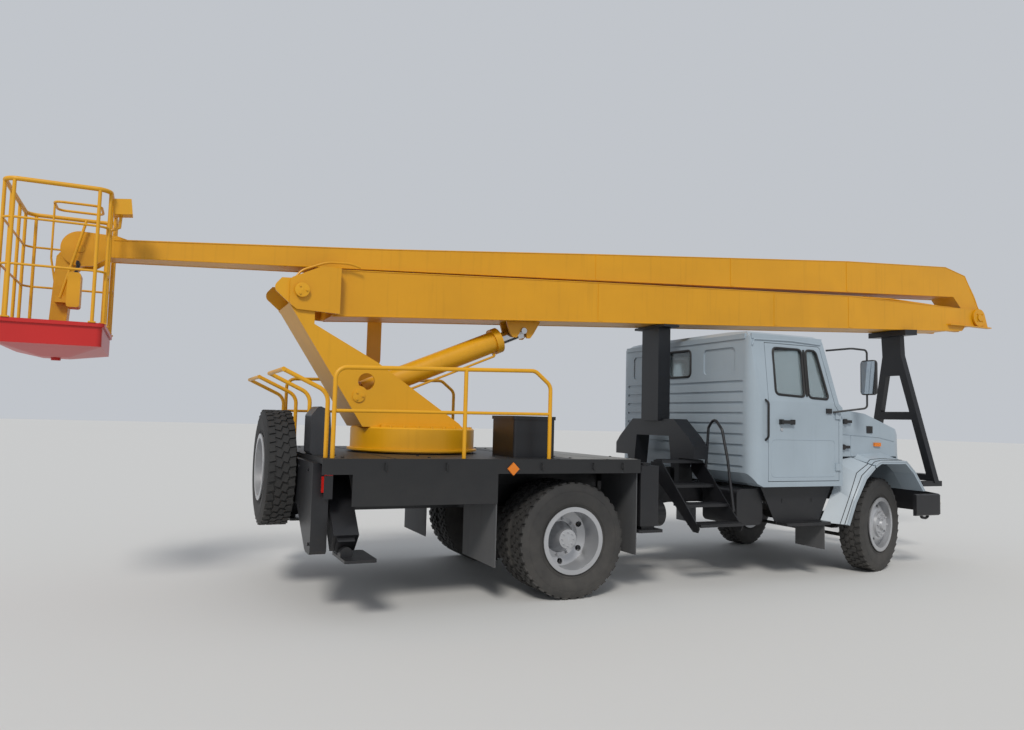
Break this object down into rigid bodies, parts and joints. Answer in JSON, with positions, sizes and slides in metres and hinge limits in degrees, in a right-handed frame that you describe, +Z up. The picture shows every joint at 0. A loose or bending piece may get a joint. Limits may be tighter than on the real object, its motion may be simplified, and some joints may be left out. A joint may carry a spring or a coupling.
{
  "type": "truck-mounted work platform",
  "caption": "Flat-bed bonneted truck with a slewing turret, a folding box-section lift boom laid over the cab and a railed work basket at the rear.",
  "frame": {"origin": "centre of the bounding box on the ground under the truck", "axes": "+X forward towards the bonnet, +Y to the left, +Z up"},
  "size_m": [11.45, 2.97, 3.73],
  "materials": {
    "boom_paint": "satin",
    "yellow_paint": "satin",
    "red_paint": "satin",
    "cab_paint": "satin",
    "flare_paint": "satin",
    "black_paint": "satin",
    "bumper_paint": "satin",
    "deck_paint": "matte",
    "wheel_paint": "satin",
    "axle_iron": "matte",
    "rod_chrome": "polished",
    "tyre_rubber": "matte",
    "flap_rubber": "matte",
    "window_glass": "clear",
    "trim_plastic": "matte",
    "lamp_lens": "gloss",
    "tail_lens": "gloss",
    "console_paint": "satin"
  },
  "bodies": {
    "chassis": {"chassis_frame": "black_paint", "leaf_springs": "axle_iron", "front_axle": "axle_iron", "rear_axle": "axle_iron", "engine": "axle_iron", "propeller_shaft": "axle_iron", "cab_shell": "cab_paint", "cab_glass": "window_glass", "cab_interior": "trim_plastic", "cab_flares": "flare_paint", "side_steps": "black_paint", "front_bumper": "bumper_paint", "front_boom_rest": "black_paint", "rear_boom_rest": "black_paint", "deck": "deck_paint", "front_outrigger_beam": "black_paint", "rear_outrigger_frame": "black_paint", "tail_lamps": "tail_lens", "spare_tyre": "tyre_rubber", "spare_wheel": "wheel_paint", "deck_railings": "yellow_paint", "access_stairs": "black_paint", "side_tanks": "black_paint", "toolbox": "black_paint", "control_console": "console_paint", "mudflaps": "flap_rubber"},
    "knuckle_left_body": {"knuckle_left": "axle_iron"},
    "knuckle_right_body": {"knuckle_right": "axle_iron"},
    "wheel_front_left": {"front_wheel_left": "wheel_paint", "front_tyre_left": "tyre_rubber"},
    "wheel_front_right": {"front_wheel_right": "wheel_paint", "front_tyre_right": "tyre_rubber"},
    "wheels_rear_left": {"rear_wheel_left": "wheel_paint", "rear_tyres_left": "tyre_rubber"},
    "wheels_rear_right": {"rear_wheel_right": "wheel_paint", "rear_tyres_right": "tyre_rubber"},
    "track_rod_body": {"track_rod": "axle_iron"},
    "door_left": {"cab_door_left": "cab_paint", "door_glass_left": "window_glass", "door_mirror_left": "trim_plastic"},
    "door_right": {"cab_door_right": "cab_paint", "door_glass_right": "window_glass", "door_mirror_right": "trim_plastic"},
    "bonnet_body": {"bonnet": "cab_paint", "grille": "trim_plastic", "headlamps": "lamp_lens"},
    "jack_front_left": {"front_jack_left": "black_paint"},
    "jack_front_right": {"front_jack_right": "black_paint"},
    "jack_rear_left": {"rear_jack_left": "black_paint"},
    "jack_rear_right": {"rear_jack_right": "black_paint"},
    "turret_body": {"turret": "yellow_paint"},
    "lift_barrel_body": {"lift_barrel": "yellow_paint"},
    "lift_rod_body": {"lift_rod": "rod_chrome"},
    "lower_boom_body": {"lower_boom": "boom_paint"},
    "elbow_body": {"elbow_lever": "boom_paint"},
    "upper_boom_body": {"upper_boom": "boom_paint"},
    "basket": {"basket_pan": "red_paint", "basket_rails": "yellow_paint", "basket_post": "yellow_paint"}
  },
  "joints": [
    {"name": "steer_left", "type": "hinge", "parent": "chassis", "child": "knuckle_left_body", "pos_m": [2.495, 0.82, 0.5], "axis": [0, 0, 1], "range_deg": [-52, 18]},
    {"name": "steer_right", "type": "hinge", "parent": "chassis", "child": "knuckle_right_body", "pos_m": [2.495, -0.82, 0.5], "axis": [0, 0, 1], "range_deg": [-52, 18]},
    {"name": "track_rod_slide", "type": "slide", "parent": "chassis", "child": "track_rod_body", "axis": [0, 1, 0], "range_m": [-0.06, 0.165]},
    {"name": "spin_front_left", "type": "hinge", "parent": "knuckle_left_body", "child": "wheel_front_left", "pos_m": [2.45261, 0.95866, 0.5], "axis": [-0.2924, 0.9563, 0], "continuous": true},
    {"name": "spin_front_right", "type": "hinge", "parent": "knuckle_right_body", "child": "wheel_front_right", "pos_m": [2.53739, -0.95866, 0.5], "axis": [-0.2924, 0.9563, 0], "continuous": true},
    {"name": "spin_rear_left", "type": "hinge", "parent": "chassis", "child": "wheels_rear_left", "pos_m": [-1.305, 0.925, 0.5], "axis": [0, 1, 0], "continuous": true},
    {"name": "spin_rear_right", "type": "hinge", "parent": "chassis", "child": "wheels_rear_right", "pos_m": [-1.305, -0.925, 0.5], "axis": [0, 1, 0], "continuous": true},
    {"name": "door_left_hinge", "type": "hinge", "parent": "chassis", "child": "door_left", "pos_m": [1.845, 1.1913, 1.4], "axis": [0, 0, -1], "range_deg": [0, 70]},
    {"name": "door_right_hinge", "type": "hinge", "parent": "chassis", "child": "door_right", "pos_m": [1.845, -1.1913, 1.4], "axis": [0, 0, 1], "range_deg": [0, 70]},
    {"name": "bonnet_hinge", "type": "hinge", "parent": "chassis", "child": "bonnet_body", "pos_m": [3.255, 0, 0.79], "axis": [0, 1, 0], "range_deg": [0, 50]},
    {"name": "jack_front_left_slide", "type": "slide", "parent": "chassis", "child": "jack_front_left", "axis": [0, 0, -1], "range_m": [0, 0.54]},
    {"name": "jack_front_right_slide", "type": "slide", "parent": "chassis", "child": "jack_front_right", "axis": [0, 0, -1], "range_m": [0, 0.54]},
    {"name": "jack_rear_left_slide", "type": "slide", "parent": "chassis", "child": "jack_rear_left", "axis": [0, 0.7071, -0.7071], "range_m": [0, 0.64]},
    {"name": "jack_rear_right_slide", "type": "slide", "parent": "chassis", "child": "jack_rear_right", "axis": [0, -0.7071, -0.7071], "range_m": [0, 0.64]},
    {"name": "turret_slew", "type": "hinge", "parent": "chassis", "child": "turret_body", "pos_m": [-2.4, 0, 1.43], "axis": [0, 0, 1], "range_deg": [-140, 140]},
    {"name": "lower_boom_lift", "type": "hinge", "parent": "turret_body", "child": "lower_boom_body", "pos_m": [-3.54, 0, 2.59], "axis": [0, -1, 0], "range_deg": [0, 75]},
    {"name": "lift_barrel_swing", "type": "hinge", "parent": "turret_body", "child": "lift_barrel_body", "pos_m": [-3.005, 0, 1.7], "axis": [0, -1, 0], "range_deg": [0, 63.5]},
    {"name": "lift_rod_stroke", "type": "slide", "parent": "lift_barrel_body", "child": "lift_rod_body", "axis": [0.9208, 0, 0.39], "range_m": [0, 1.17]},
    {"name": "elbow_level", "type": "hinge", "parent": "lower_boom_body", "child": "elbow_body", "pos_m": [5.505, 0, 3.08], "axis": [0, 1, 0], "range_deg": [0, 75]},
    {"name": "upper_boom_lift", "type": "hinge", "parent": "elbow_body", "child": "upper_boom_body", "pos_m": [5.505, 0, 3.08], "axis": [0, 1, 0], "range_deg": [0, 55]},
    {"name": "basket_level", "type": "hinge", "parent": "upper_boom_body", "child": "basket", "pos_m": [-5.235, 0, 2.79], "axis": [0, -1, 0], "range_deg": [0, 55]}
  ],
  "couplings": [
    {"joint": "steer_right", "follows": "steer_left", "ratio": 1},
    {"joint": "track_rod_slide", "follows": "steer_left", "m_per_rad": -0.178},
    {"joint": "lift_barrel_swing", "follows": "lower_boom_lift", "ratio": 0.8412},
    {"joint": "lift_rod_stroke", "follows": "lower_boom_lift", "m_per_rad": 0.8906},
    {"joint": "elbow_level", "follows": "lower_boom_lift", "ratio": 1},
    {"joint": "basket_level", "follows": "upper_boom_lift", "ratio": 1}
  ]
}
